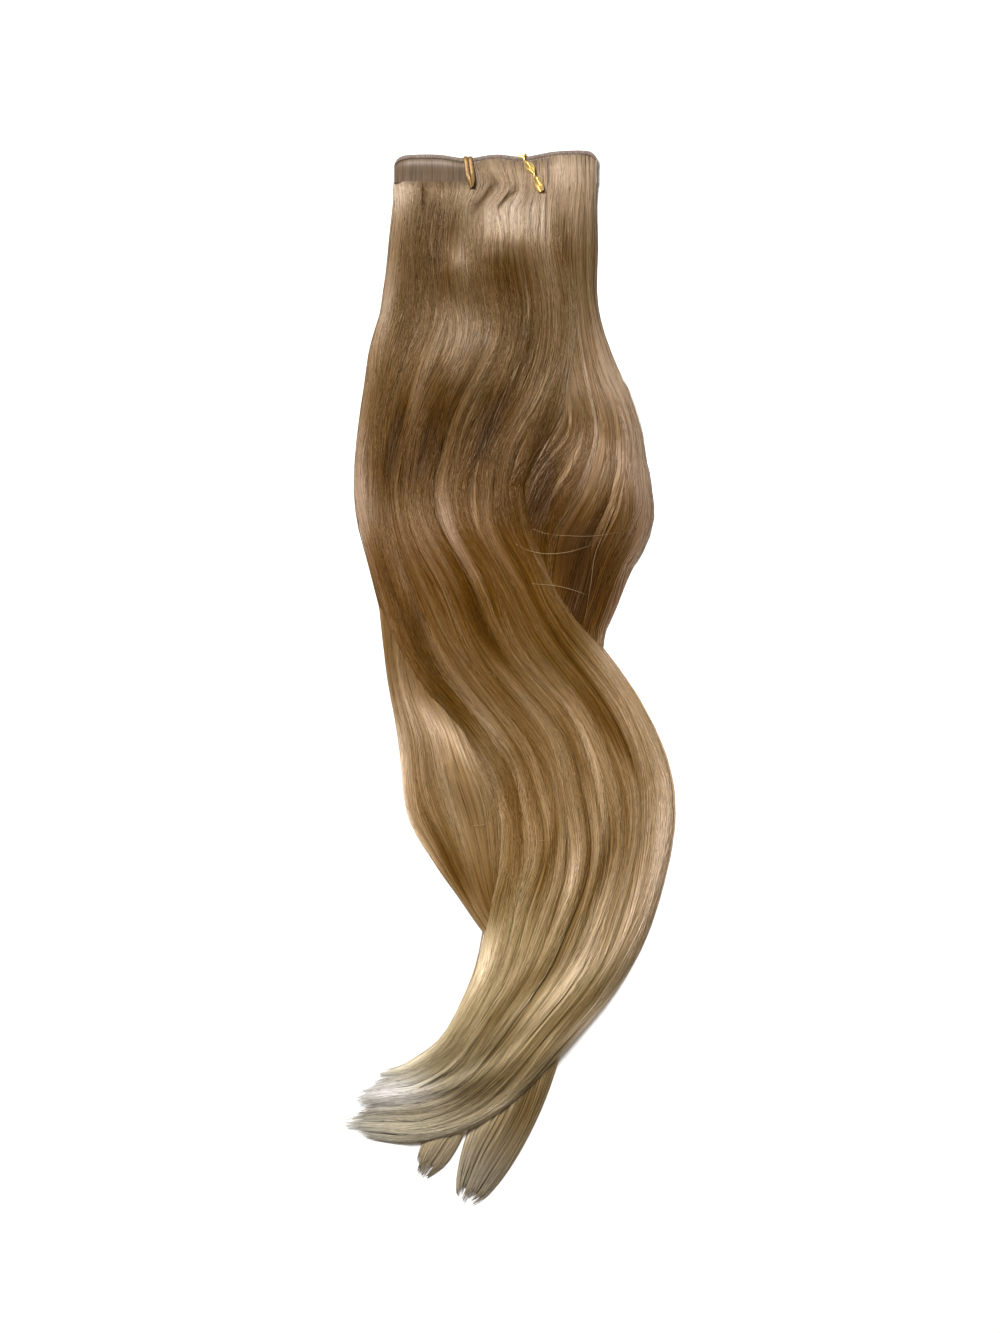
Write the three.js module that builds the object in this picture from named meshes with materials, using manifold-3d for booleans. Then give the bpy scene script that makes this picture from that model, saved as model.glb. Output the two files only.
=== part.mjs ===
// A clip-in hair extension lying on a table: a folded weft with its sewn track along the top edge,
// three long wavy locks of hair, two twisted gold ties over the track and two clips under the band.
// Millimetres. X runs along the weft, Y from the tips up to the track, Z up from the table.
// The tables below count X from the middle of the weft and Y down from the top of the track.
import * as THREE from "three";
import Module from "manifold-3d";

// Driving dimensions of the weft
const WEFT_LEFT = -51.6;
const WEFT_RIGHT = 50.2;
const TRACK_HEIGHT = 2.6;
const TRACK_THICK = 4.2;
const BAND_BOTTOM = -14.4;
const BAND_THICK = 3.5;
const BAND_BASE = 2.1;
const GAP = 0.3;

// The top edge is pulled down where a tie grips it, rises to the right and rounds off at both ends
const TIE_PULL = 2.2;
const TIE_REACH = 11;
const RIGHT_RISE = 1.3;
const CORNER_DROP = 5;
const CORNER_POWER = 22;
const WEFT_STEPS = 44;

// Clips: plain oblong plates under the band
const CLIP_LENGTH = 27;
const CLIP_WIDTH = 9.5;
const CLIP_THICK = 1.8;
const CLIP_Y = -8;
const CLIP_X = 35;

// Ties: a thin gold strip folded over the track, its front end twisted
const TIE_WIDTH = 3.6;
const TIE_THICK = 0.8;
const TIE_GAP = 0.7;
const TIE_STEPS = 40;
const TIES = {
  tie_left: { x: -14.5, endX: -12.6, endY: -17.2, halfTurns: 0.4, twistFrom: 0.8 },
  tie_right: { x: 13, endX: 22, endY: -20, halfTurns: 2.3, twistFrom: 0.65 },
};

// Lock surfaces: sections for each row of a table, and how full the domed top is. The room cut for
// an under lock keeps a gap all round it and goes on past its root and its underside.
const STEPS_PER_ROW = 2;
const DOME_POWER = 0.62;
const CUT_GAP = 0.4;
const CUT_PAST = 1;

// One row for each section, from the root to the tips. x and y are the middle of the section on the
// table and width goes across the flow. base is the underside's height above the table. left, crest
// and right are the heights of the top at the left edge, in the middle and at the right edge.
const LOCK_MAIN = {
  across: 22,
  folds: 6,
  foldDepth: 0.9,
  rows: [
    { x: -6.2, y: -14.8, width: 91, base: 2.4, left: 5.2, crest: 6.6, right: 6.2 },
    { x: -6.2, y: -24.0, width: 91, base: 1.2, left: 4.0, crest: 8.8, right: 8.0 },
    { x: -7.2, y: -45.5, width: 94, base: 0, left: 3.0, crest: 14.0, right: 10.8 },
    { x: -6.8, y: -69.5, width: 101, base: 0, left: 2.0, crest: 12.0, right: 10.5 },
    { x: -8.2, y: -90.0, width: 104, base: 0, left: 2.0, crest: 14.0, right: 10.2 },
    { x: -14.5, y: -113.5, width: 104, base: 0, left: 2.0, crest: 16.5, right: 10.4 },
    { x: -22.8, y: -138.5, width: 95, base: 0, left: 2.0, crest: 13.5, right: 10.8 },
    { x: -27.2, y: -158.5, width: 88, base: 0, left: 2.0, crest: 14.0, right: 11.5 },
    { x: -27.0, y: -174.0, width: 87, base: 0, left: 2.0, crest: 15.5, right: 12.0 },
    { x: -21.5, y: -199.0, width: 88, base: 0, left: 2.5, crest: 18.5, right: 12.0 },
    { x: -10.0, y: -229.5, width: 91, base: 0, left: 8.0, crest: 20.5, right: 11.5 },
    { x: 11.5, y: -260.5, width: 84, base: 0, left: 11.0, crest: 22.0, right: 10.0 },
    { x: 35.0, y: -295.5, width: 85, base: 0, left: 9.5, crest: 21.0, right: 2.5 },
    { x: 44.5, y: -325.0, width: 89, base: 0, left: 8.5, crest: 20.0, right: 2.0 },
    { x: 42.0, y: -358.5, width: 84, base: 0, left: 8.0, crest: 19.5, right: 2.0 },
    { x: 32.5, y: -389.5, width: 79, base: 0, left: 8.5, crest: 18.0, right: 2.5 },
    { x: 16.5, y: -425.5, width: 64, base: 0, left: 4.0, crest: 15.5, right: 6.5 },
    { x: -8.5, y: -458.5, width: 50, base: 0, left: 2.0, crest: 12.0, right: 7.5 },
    { x: -36.0, y: -474.5, width: 42, base: 0, left: 1.5, crest: 8.5, right: 5.5 },
    { x: -58.5, y: -478.5, width: 34, base: 0, left: 1.2, crest: 5.0, right: 2.0 },
    { x: -75.5, y: -480.0, width: 16, base: 0, left: 1.0, crest: 2.5, right: 1.2 },
  ],
};
const LOCK_RIGHT = {
  across: 12,
  folds: 4,
  foldDepth: 0.6,
  rows: [
    { x: 37.5, y: -14.8, width: 25, base: 2.4, left: 4.0, crest: 5.6, right: 4.6 },
    { x: 37.5, y: -24.0, width: 24, base: 1.2, left: 3.0, crest: 7.0, right: 4.0 },
    { x: 38.0, y: -45.5, width: 25, base: 0, left: 2.0, crest: 8.0, right: 3.0 },
    { x: 38.5, y: -69.5, width: 23, base: 0, left: 2.0, crest: 7.5, right: 2.0 },
    { x: 37.5, y: -90.0, width: 29, base: 0, left: 2.0, crest: 7.5, right: 2.0 },
    { x: 41.8, y: -113.5, width: 43, base: 0, left: 2.0, crest: 8.4, right: 2.0 },
    { x: 43.2, y: -138.5, width: 60, base: 0, left: 2.0, crest: 9.2, right: 2.0 },
    { x: 41.4, y: -158.5, width: 73, base: 0, left: 2.0, crest: 10.0, right: 2.0 },
    { x: 39.5, y: -173.5, width: 81, base: 0, left: 2.0, crest: 10.5, right: 2.0 },
    { x: 36.5, y: -193.5, width: 76, base: 0, left: 2.0, crest: 9.8, right: 2.0 },
    { x: 33.0, y: -213.5, width: 61, base: 0, left: 2.0, crest: 8.5, right: 1.5 },
    { x: 28.5, y: -233.5, width: 56, base: 0, left: 2.0, crest: 8.0, right: 1.5 },
    { x: 27.5, y: -255.5, width: 52, base: 0, left: 2.0, crest: 7.0, right: 1.5 },
    { x: 31.0, y: -293.5, width: 42, base: 0, left: 2.0, crest: 6.5, right: 1.5 },
    { x: 37.5, y: -333.5, width: 36, base: 0, left: 2.0, crest: 6.5, right: 1.5 },
    { x: 37.5, y: -373.5, width: 36, base: 0, left: 2.0, crest: 6.5, right: 1.5 },
    { x: 33.0, y: -408.5, width: 34, base: 0, left: 1.5, crest: 6.0, right: 1.5 },
    { x: 22.0, y: -441.0, width: 33, base: 0, left: 1.5, crest: 6.0, right: 1.5 },
    { x: 10.0, y: -471.0, width: 30, base: 0, left: 1.5, crest: 5.0, right: 1.5 },
    { x: -3.0, y: -498.5, width: 27, base: 0, left: 1.2, crest: 4.0, right: 1.2 },
    { x: -11.5, y: -516.5, width: 19, base: 0, left: 1.0, crest: 3.0, right: 1.0 },
    { x: -17.5, y: -526.5, width: 8, base: 0, left: 0.8, crest: 1.6, right: 0.8 },
  ],
};
const LOCK_LEFT = {
  across: 12,
  folds: 4,
  foldDepth: 0.5,
  rows: [
    { x: -33.5, y: -14.8, width: 26, base: 2.4, left: 3.2, crest: 4.0, right: 3.2 },
    { x: -33.5, y: -24.0, width: 26, base: 1.2, left: 2.4, crest: 4.2, right: 2.4 },
    { x: -36.5, y: -48.5, width: 26, base: 0, left: 1.5, crest: 5.0, right: 1.5 },
    { x: -39.5, y: -78.5, width: 26, base: 0, left: 1.5, crest: 5.0, right: 1.5 },
    { x: -45.5, y: -108.5, width: 26, base: 0, left: 1.5, crest: 5.0, right: 1.5 },
    { x: -49.5, y: -143.5, width: 26, base: 0, left: 1.5, crest: 5.0, right: 1.5 },
    { x: -50.0, y: -173.5, width: 26, base: 0, left: 1.5, crest: 5.0, right: 1.5 },
    { x: -47.5, y: -203.5, width: 28, base: 0, left: 1.5, crest: 5.5, right: 1.5 },
    { x: -41.5, y: -233.5, width: 34, base: 0, left: 1.5, crest: 7.0, right: 2.0 },
    { x: -35.5, y: -263.5, width: 38, base: 0, left: 1.5, crest: 8.5, right: 2.0 },
    { x: -27.0, y: -293.5, width: 44, base: 0, left: 1.5, crest: 9.0, right: 2.0 },
    { x: -20.5, y: -323.5, width: 50, base: 0, left: 1.5, crest: 9.0, right: 2.0 },
    { x: -14.5, y: -348.5, width: 39, base: 0, left: 1.5, crest: 8.0, right: 2.0 },
    { x: -6.5, y: -373.5, width: 22, base: 0, left: 1.5, crest: 6.5, right: 1.5 },
    { x: 1.5, y: -396.0, width: 12, base: 0, left: 1.5, crest: 5.0, right: 1.5 },
    { x: 0.5, y: -423.5, width: 12, base: 0, left: 1.5, crest: 4.0, right: 1.5 },
    { x: -8.5, y: -453.5, width: 14, base: 0, left: 1.2, crest: 4.0, right: 1.2 },
    { x: -20.0, y: -481.0, width: 15, base: 0, left: 1.2, crest: 3.8, right: 1.2 },
    { x: -31.0, y: -501.0, width: 16, base: 0, left: 1.0, crest: 3.2, right: 1.0 },
    { x: -38.5, y: -512.5, width: 7, base: 0, left: 0.8, crest: 1.6, right: 0.8 },
  ],
};

const FINISHES = {
  hair: { color: "#8a6b45", roughness: 0.5 },
  track: { color: "#6f6053", roughness: 0.85 },
  band: { color: "#77644f", roughness: 0.8 },
  gold: { color: "#d9a840", roughness: 0.25, metalness: 1 },
  clip: { color: "#8d7350", roughness: 0.45, metalness: 0.3 },
};

const wasm = await Module();
wasm.setup();

// A closed skin over rings of equally many points, each end shut by a fan round its middle
function loft(rings) {
  const count = rings[0].length;
  const middle = (ring) =>
    ring.reduce((sum, p) => sum.add(p), new THREE.Vector3()).divideScalar(count);
  const points = rings.flat();
  const startMiddle = points.push(middle(rings[0])) - 1;
  const endMiddle = points.push(middle(rings.at(-1))) - 1;
  const lastRing = (rings.length - 1) * count;
  const faces = [];
  for (let j = 0; j < count; j++) {
    const next = (j + 1) % count;
    for (let start = 0; start < lastRing; start += count) {
      faces.push(start + j, start + next, start + count + next);
      faces.push(start + j, start + count + next, start + count + j);
    }
    faces.push(startMiddle, next, j);
    faces.push(endMiddle, lastRing + j, lastRing + next);
  }
  const geometry = new THREE.BufferGeometry().setFromPoints(points);
  geometry.setIndex(faces);
  geometry.computeVertexNormals();
  return geometry;
}

// The top of a lock's section at u, from -1 at the left edge to 1 at the right one
function topHeight(lock, size, u) {
  const edge = THREE.MathUtils.lerp(size.left, size.right, (u + 1) / 2);
  const lift = size.crest - (size.left + size.right) / 2;
  const fold = lock.foldDepth * Math.cos(lock.folds * Math.PI * u) * (1 - u * u);
  const foldShare = Math.min(1, size.crest / 10);
  return edge + lift * Math.pow(1 - u * u, DOME_POWER) + fold * foldShare;
}

// One section as points: along the top from the right edge to the left one, then back underneath
function section(lock, size, middle, flow, grow) {
  const half = size.width / 2 + grow;
  const underside = grow > 0 ? size.base - CUT_PAST : size.base;
  const across = new THREE.Vector3(-flow.y, flow.x, 0);
  const at = (u, height) => middle.clone().addScaledVector(across, u * half).setZ(height);
  const points = [];
  for (let i = 0; i <= lock.across; i++) {
    const u = Math.cos((Math.PI * i) / lock.across);
    points.push(at(u, topHeight(lock, size, u) + grow));
  }
  points.push(at(-1, underside), at(0, underside), at(1, underside));
  return points;
}

// A whole lock, lofted through smooth curves along its table's columns. grow widens it for a cut.
function lockGeometry(lock, grow = 0) {
  const column = (pick) => new THREE.CatmullRomCurve3(lock.rows.map(pick), false, "catmullrom");
  const spine = column((r) => new THREE.Vector3(r.x, r.y, 0));
  const body = column((r) => new THREE.Vector3(r.width, r.base, r.crest));
  const edges = column((r) => new THREE.Vector3(r.left, r.right, 0));
  const steps = (lock.rows.length - 1) * STEPS_PER_ROW;
  const rings = [];
  for (let i = 0; i <= steps; i++) {
    const t = i / steps;
    const [width, base, crest] = body.getPoint(t).toArray();
    const [left, right] = edges.getPoint(t).toArray();
    const size = { width, base: Math.max(base, 0), left, crest, right };
    const middle = spine.getPoint(t);
    const flow = spine.getTangent(t);
    if (grow > 0 && i === 0) {
      middle.addScaledVector(flow, -CUT_PAST);
    }
    rings.push(section(lock, size, middle, flow, grow));
  }
  return loft(rings);
}

function toSolid(geometry) {
  return new wasm.Manifold(
    new wasm.Mesh({
      numProp: 3,
      vertProperties: geometry.attributes.position.array,
      triVerts: new Uint32Array(geometry.index.array),
    }),
  );
}

function fromSolid(solid) {
  const { vertProperties, triVerts } = solid.getMesh();
  const geometry = new THREE.BufferGeometry();
  geometry.setAttribute("position", new THREE.BufferAttribute(vertProperties, 3));
  geometry.setIndex(new THREE.BufferAttribute(triVerts, 1));
  geometry.computeVertexNormals();
  return geometry;
}

// The main lock lies over the other two, so their room is cut out of its underside
function mainLockGeometry() {
  const under = [LOCK_RIGHT, LOCK_LEFT].map((lock) => toSolid(lockGeometry(lock, CUT_GAP)));
  return fromSolid(under.reduce((solid, cut) => solid.subtract(cut), toSolid(lockGeometry(LOCK_MAIN))));
}

// The height of the weft's top edge at x, below or above its mean line
function topEdge(x) {
  const pulls = Object.values(TIES).map((tie) => Math.exp(-(((x - tie.x) / TIE_REACH) ** 2)));
  const along = (2 * (x - WEFT_LEFT)) / (WEFT_RIGHT - WEFT_LEFT) - 1;
  const corner = CORNER_DROP * Math.abs(along) ** CORNER_POWER;
  return RIGHT_RISE * along - TIE_PULL * (pulls[0] + pulls[1]) - corner;
}

// A strip along the weft between two edges, as rings of a rectangle's four corners
function weftStrip(upper, lower, base, thick) {
  const rings = [];
  for (let i = 0; i <= WEFT_STEPS; i++) {
    const x = THREE.MathUtils.lerp(WEFT_LEFT, WEFT_RIGHT, i / WEFT_STEPS);
    const corner = (y, z) => new THREE.Vector3(x, y(x), z);
    rings.push([
      corner(lower, base),
      corner(upper, base),
      corner(upper, base + thick),
      corner(lower, base + thick),
    ]);
  }
  return loft(rings);
}

function trackGeometry() {
  return weftStrip(topEdge, (x) => topEdge(x) - TRACK_HEIGHT, BAND_BASE, TRACK_THICK);
}

function bandGeometry() {
  const upper = (x) => topEdge(x) - TRACK_HEIGHT - GAP;
  return weftStrip(upper, () => BAND_BOTTOM, BAND_BASE, BAND_THICK);
}

// A gold strip from under the band, round the track's edge and down the front, twisting to its end
function tieGeometry(tie) {
  const reach = TIE_THICK / 2 + TIE_GAP;
  const under = BAND_BASE - reach;
  const over = BAND_BASE + TRACK_THICK + reach;
  const edge = topEdge(tie.x) + reach;
  const towardsEnd = (share) => THREE.MathUtils.lerp(tie.x, tie.endX, share);
  const path = new THREE.CatmullRomCurve3([
    new THREE.Vector3(tie.x, edge - 8, under),
    new THREE.Vector3(tie.x, edge - 0.8, under),
    new THREE.Vector3(tie.x, edge + 1, under + 1.6),
    new THREE.Vector3(tie.x, edge + 1, over - 1.6),
    new THREE.Vector3(tie.x, edge - 0.8, over),
    new THREE.Vector3(towardsEnd(0.35), edge - 6, over + 1),
    new THREE.Vector3(towardsEnd(0.7), edge - 11, over + 2),
    new THREE.Vector3(tie.endX, tie.endY, over + 3),
  ]);
  const rings = [];
  for (let i = 0; i <= TIE_STEPS; i++) {
    const t = i / TIE_STEPS;
    const along = path.getTangent(t);
    const twist = Math.PI * tie.halfTurns * Math.max(0, (t - tie.twistFrom) / (1 - tie.twistFrom));
    const wide = new THREE.Vector3(1, 0, 0).addScaledVector(along, -along.x).normalize();
    wide.applyAxisAngle(along, twist);
    const thin = new THREE.Vector3().crossVectors(along, wide);
    const corner = (a, b) =>
      path
        .getPoint(t)
        .addScaledVector(wide, (a * TIE_WIDTH) / 2)
        .addScaledVector(thin, (b * TIE_THICK) / 2);
    rings.push([corner(1, 1), corner(-1, 1), corner(-1, -1), corner(1, -1)]);
  }
  return loft(rings);
}

// An oblong plate with round ends, lying on the table under the band
function clipGeometry() {
  const radius = CLIP_WIDTH / 2;
  const straight = CLIP_LENGTH / 2 - radius;
  const outline = new THREE.Shape();
  outline.absarc(straight, 0, radius, -Math.PI / 2, Math.PI / 2);
  outline.absarc(-straight, 0, radius, Math.PI / 2, (3 * Math.PI) / 2);
  return new THREE.ExtrudeGeometry(outline, {
    depth: CLIP_THICK,
    bevelEnabled: false,
    curveSegments: 8,
  });
}

const part = new THREE.Group();

function add(name, geometry, finish) {
  const mesh = new THREE.Mesh(geometry, new THREE.MeshStandardMaterial(finish));
  mesh.name = name;
  part.add(mesh);
  return mesh;
}

add("weft_track", trackGeometry(), FINISHES.track);
add("weft_band", bandGeometry(), FINISHES.band);
add("lock_main", mainLockGeometry(), FINISHES.hair);
add("lock_right", lockGeometry(LOCK_RIGHT), FINISHES.hair);
add("lock_left", lockGeometry(LOCK_LEFT), FINISHES.hair);
for (const [name, tie] of Object.entries(TIES)) {
  add(name, tieGeometry(tie), FINISHES.gold);
}
add("clip_left", clipGeometry(), FINISHES.clip).position.set(-CLIP_X, CLIP_Y, 0);
add("clip_right", clipGeometry(), FINISHES.clip).position.set(CLIP_X, CLIP_Y, 0);

// The origin goes to the middle of the underside of the whole extension
const box = new THREE.Box3().setFromObject(part);
const middle = box.getCenter(new THREE.Vector3());
part.position.set(-middle.x, -middle.y, -box.min.z);

export default part;
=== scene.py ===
"""A clip-in hair extension lying on a pale table, seen from straight above.

Three locks of wavy hair hang together on a folded, sewn weft. Each lock is a ridged inner body with
clumps of single strands over it. Lengths are millimetres, counted from the middle of the weft and the
mean line of its top edge. They become metres in the shared frame when a mesh is made.
"""

import math
from collections import namedtuple

import bpy
import numpy as np
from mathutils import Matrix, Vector


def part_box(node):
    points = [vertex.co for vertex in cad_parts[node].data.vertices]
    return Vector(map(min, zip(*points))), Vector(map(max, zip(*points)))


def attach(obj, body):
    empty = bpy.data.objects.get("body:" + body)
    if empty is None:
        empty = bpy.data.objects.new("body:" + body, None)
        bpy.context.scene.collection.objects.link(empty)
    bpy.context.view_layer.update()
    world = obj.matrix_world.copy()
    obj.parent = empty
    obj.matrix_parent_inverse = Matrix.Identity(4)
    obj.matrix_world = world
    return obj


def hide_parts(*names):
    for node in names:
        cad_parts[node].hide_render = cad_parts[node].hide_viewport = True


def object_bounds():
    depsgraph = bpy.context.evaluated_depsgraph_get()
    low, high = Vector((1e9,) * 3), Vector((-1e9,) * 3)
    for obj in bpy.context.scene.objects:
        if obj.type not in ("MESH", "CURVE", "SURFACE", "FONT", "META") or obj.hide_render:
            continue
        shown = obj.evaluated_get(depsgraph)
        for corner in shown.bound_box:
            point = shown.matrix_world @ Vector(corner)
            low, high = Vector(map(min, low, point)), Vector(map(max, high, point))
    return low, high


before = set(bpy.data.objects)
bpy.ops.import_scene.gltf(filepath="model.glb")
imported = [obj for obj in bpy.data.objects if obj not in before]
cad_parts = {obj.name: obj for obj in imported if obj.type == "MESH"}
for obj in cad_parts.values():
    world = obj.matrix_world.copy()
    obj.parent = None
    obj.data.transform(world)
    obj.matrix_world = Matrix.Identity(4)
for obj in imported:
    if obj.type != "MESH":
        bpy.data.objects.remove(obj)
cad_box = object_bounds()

MM = 0.001

# The photograph's frame: its size, where the middle of the weft's top edge lies, and its scale
IMAGE_WIDTH_PX = 1000
IMAGE_HEIGHT_PX = 1333
WEFT_MIDDLE_PX = (497, 153)
MM_PER_PX = 0.5

# The weft: its ends, the rolled track along its top edge and the sewn band below the track
WEFT_LEFT = -51.6
WEFT_RIGHT = 50.2
TRACK_HEIGHT = 2.6
TRACK_THICK = 4.2
BAND_BOTTOM = -14.4
BAND_THICK = 3.5
BAND_BASE = 2.1

# The top edge lies a little high, dips where a tie grips it, rises to the right and rounds off
EDGE_RISE = 1.2
TIE_PULL = 2.5
TIE_REACH = 11
RIGHT_RISE = 1.3
CORNER_DROP = 4
CORNER_POWER = 22

# The two gold ties: where each goes over the track, where its front end lies, and its twist
TIES = {
    "tie_left": {"x": -14.5, "end": (-12.6, -17.2), "half_turns": 0.4, "twist_from": 0.8},
    "tie_right": {"x": 13, "end": (22, -19.3), "half_turns": 2.3, "twist_from": 0.5},
}

# The locks, one row for each section from the root to the tips. x and y are the middle of the section
# and width goes across the flow. base is the underside's height above the table. left, crest and
# right are the heights of the top at the left edge, in the middle and at the right edge.
X, Y, WIDTH, BASE, LEFT, CREST, RIGHT = range(7)
LOCK_MAIN = [
    (-6.2, 1, 91, 5.6, 5.9, 6.1, 6),
    (-6.2, -14.8, 91, 2.4, 5.4, 6.8, 6.2),
    (-6.4, -26, 91, 1, 4.4, 8, 7),
    (-7.2, -45.5, 94, 0, 3, 9.5, 8),
    (-6.8, -69.5, 101, 0, 2, 10, 8),
    (-8.2, -90, 104, 0, 2, 11, 9),
    (-14.5, -113.5, 104, 0, 2, 11.5, 9.5),
    (-22, -138.5, 95, 0, 2, 11.5, 10.5),
    (-26, -158.5, 90, 0, 2, 12, 11.5),
    (-26, -174, 89, 0, 2, 12.5, 12),
    (-21, -199, 89, 0, 2.5, 14.5, 12),
    (-10, -229.5, 91, 0, 8, 15.5, 11),
    (11.5, -260.5, 84, 0, 10.5, 15.5, 9),
    (35, -295.5, 85, 0, 9.5, 17, 2.5),
    (44.5, -325, 89, 0, 8.5, 19, 2),
    (42, -358.5, 84, 0, 8, 19.5, 2),
    (32.5, -389.5, 79, 0, 8.5, 17.5, 2.5),
    (16.5, -425.5, 64, 0, 4, 15, 6.5),
    (-8.5, -458.5, 50, 0, 2, 11.5, 7.5),
    (-36, -474.5, 42, 0, 1.5, 8, 5.5),
    (-58.5, -478.5, 35, 0, 1.2, 4.5, 2),
    (-80, -481.5, 20, 0, 1, 2.2, 1.2),
]
LOCK_RIGHT = [
    (38.8, 1, 22.4, 5.6, 5.8, 6.1, 5.8),
    (38.6, -14.8, 22.8, 2.4, 5.2, 5.9, 4.6),
    (37.8, -26, 24, 1, 6, 7.2, 4),
    (38, -45.5, 25, 0, 6.4, 7.8, 3),
    (38.5, -69.5, 23, 0, 6, 7.2, 2),
    (40, -90, 27, 0, 6, 7.2, 2),
    (44, -112, 35, 0, 5, 8.2, 2),
    (47, -126, 43, 0, 4.5, 8.6, 2),
    (47, -138.5, 53, 0, 4, 9, 2),
    (44.5, -150, 65, 0, 3.5, 9.5, 2),
    (41.5, -162, 76, 0, 3, 9.8, 2),
    (38, -174.5, 84, 0, 2.5, 10, 2),
    (31.3, -193.5, 81.6, 0, 2.5, 9.5, 2),
    (27.5, -213.5, 72, 0, 2, 8.5, 1.5),
    (22, -233.5, 67, 0, 2, 8, 1.5),
    (22, -255.5, 63, 0, 2, 7, 1.5),
    (31, -293.5, 42, 0, 2, 6.5, 1.5),
    (37.5, -333.5, 36, 0, 2, 6.5, 1.5),
    (37.5, -373.5, 36, 0, 2, 6.5, 1.5),
    (33, -408.5, 34, 0, 1.5, 6, 1.5),
    (22, -441, 33, 0, 1.5, 6, 1.5),
    (10, -471, 30, 0, 1.5, 5, 1.5),
    (-3, -498.5, 27, 0, 1.2, 4, 1.2),
    (-11.5, -516.5, 19, 0, 1, 3, 1),
    (-17.5, -526.5, 8, 0, 0.8, 1.6, 0.8),
]
LOCK_LEFT = [
    (-33.5, -14.8, 26, 2.4, 3.2, 4, 3.2),
    (-33.5, -24, 26, 1.2, 2.4, 4.2, 2.4),
    (-36.5, -48.5, 26, 0, 1.5, 5, 1.5),
    (-39.5, -78.5, 26, 0, 1.5, 5, 1.5),
    (-45.5, -108.5, 26, 0, 1.5, 5, 1.5),
    (-49.5, -143.5, 26, 0, 1.5, 5, 1.5),
    (-50, -173.5, 26, 0, 1.5, 5, 1.5),
    (-47.5, -203.5, 28, 0, 1.5, 5.5, 1.5),
    (-45.5, -233.5, 27, 0, 1.5, 6, 2),
    (-41, -263.5, 28, 0, 1.5, 6.5, 2),
    (-31, -293.5, 38, 0, 1.5, 7.5, 2),
    (-21, -323.5, 50, 0, 1.5, 8, 2),
    (-14.5, -348.5, 39, 0, 1.5, 7.5, 2),
    (-6.5, -373.5, 22, 0, 1.5, 6.5, 1.5),
    (1.5, -396, 12, 0, 1.5, 5, 1.5),
    (0.5, -423.5, 12, 0, 1.5, 4, 1.5),
    (-8.5, -453.5, 14, 0, 1.2, 4, 1.2),
    (-20, -481, 15, 0, 1.2, 3.8, 1.2),
    (-31, -501, 16, 0, 1, 3.2, 1),
    (-38.5, -512.5, 7, 0, 0.8, 1.6, 0.8),
]

# How the top of a section bulges towards its crest, and how steep its walls are
DOME_POWER = 0.62
WALL_POWER = 8

# Spots on the locks: x and y are the middle, and long and wide the reach. turn is the angle of the
# long way from straight down, in degrees towards the left. amount is the effect at the middle.
Spot = namedtuple("Spot", "x y long wide turn amount")


def spots(*rows):
    """Spots from their rows."""
    return [Spot(*row) for row in rows]



# Swells raise the locks' tops by a height
SWELLS = spots(
    (12, -47, 15, 18, 0, 5),
    (-20, -61, 13, 9, -5, 3.6),
    (-22, -110, 18, 17, 12, 4.5),
    (-42, -114, 18, 9, 10, 2),
    (10, -119, 17, 11, 20, 2),
    (-36, -198, 26, 20, -24, 3),
    (38, -170, 26, 14, 20, 2.6),
    (64, -186, 28, 14, 10, 2.8),
    (-22, -302, 18, 12, -40, 4.5),
)

# How far along the hair the swells shift from strand to strand
SWELL_SHIFT = 6

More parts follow.
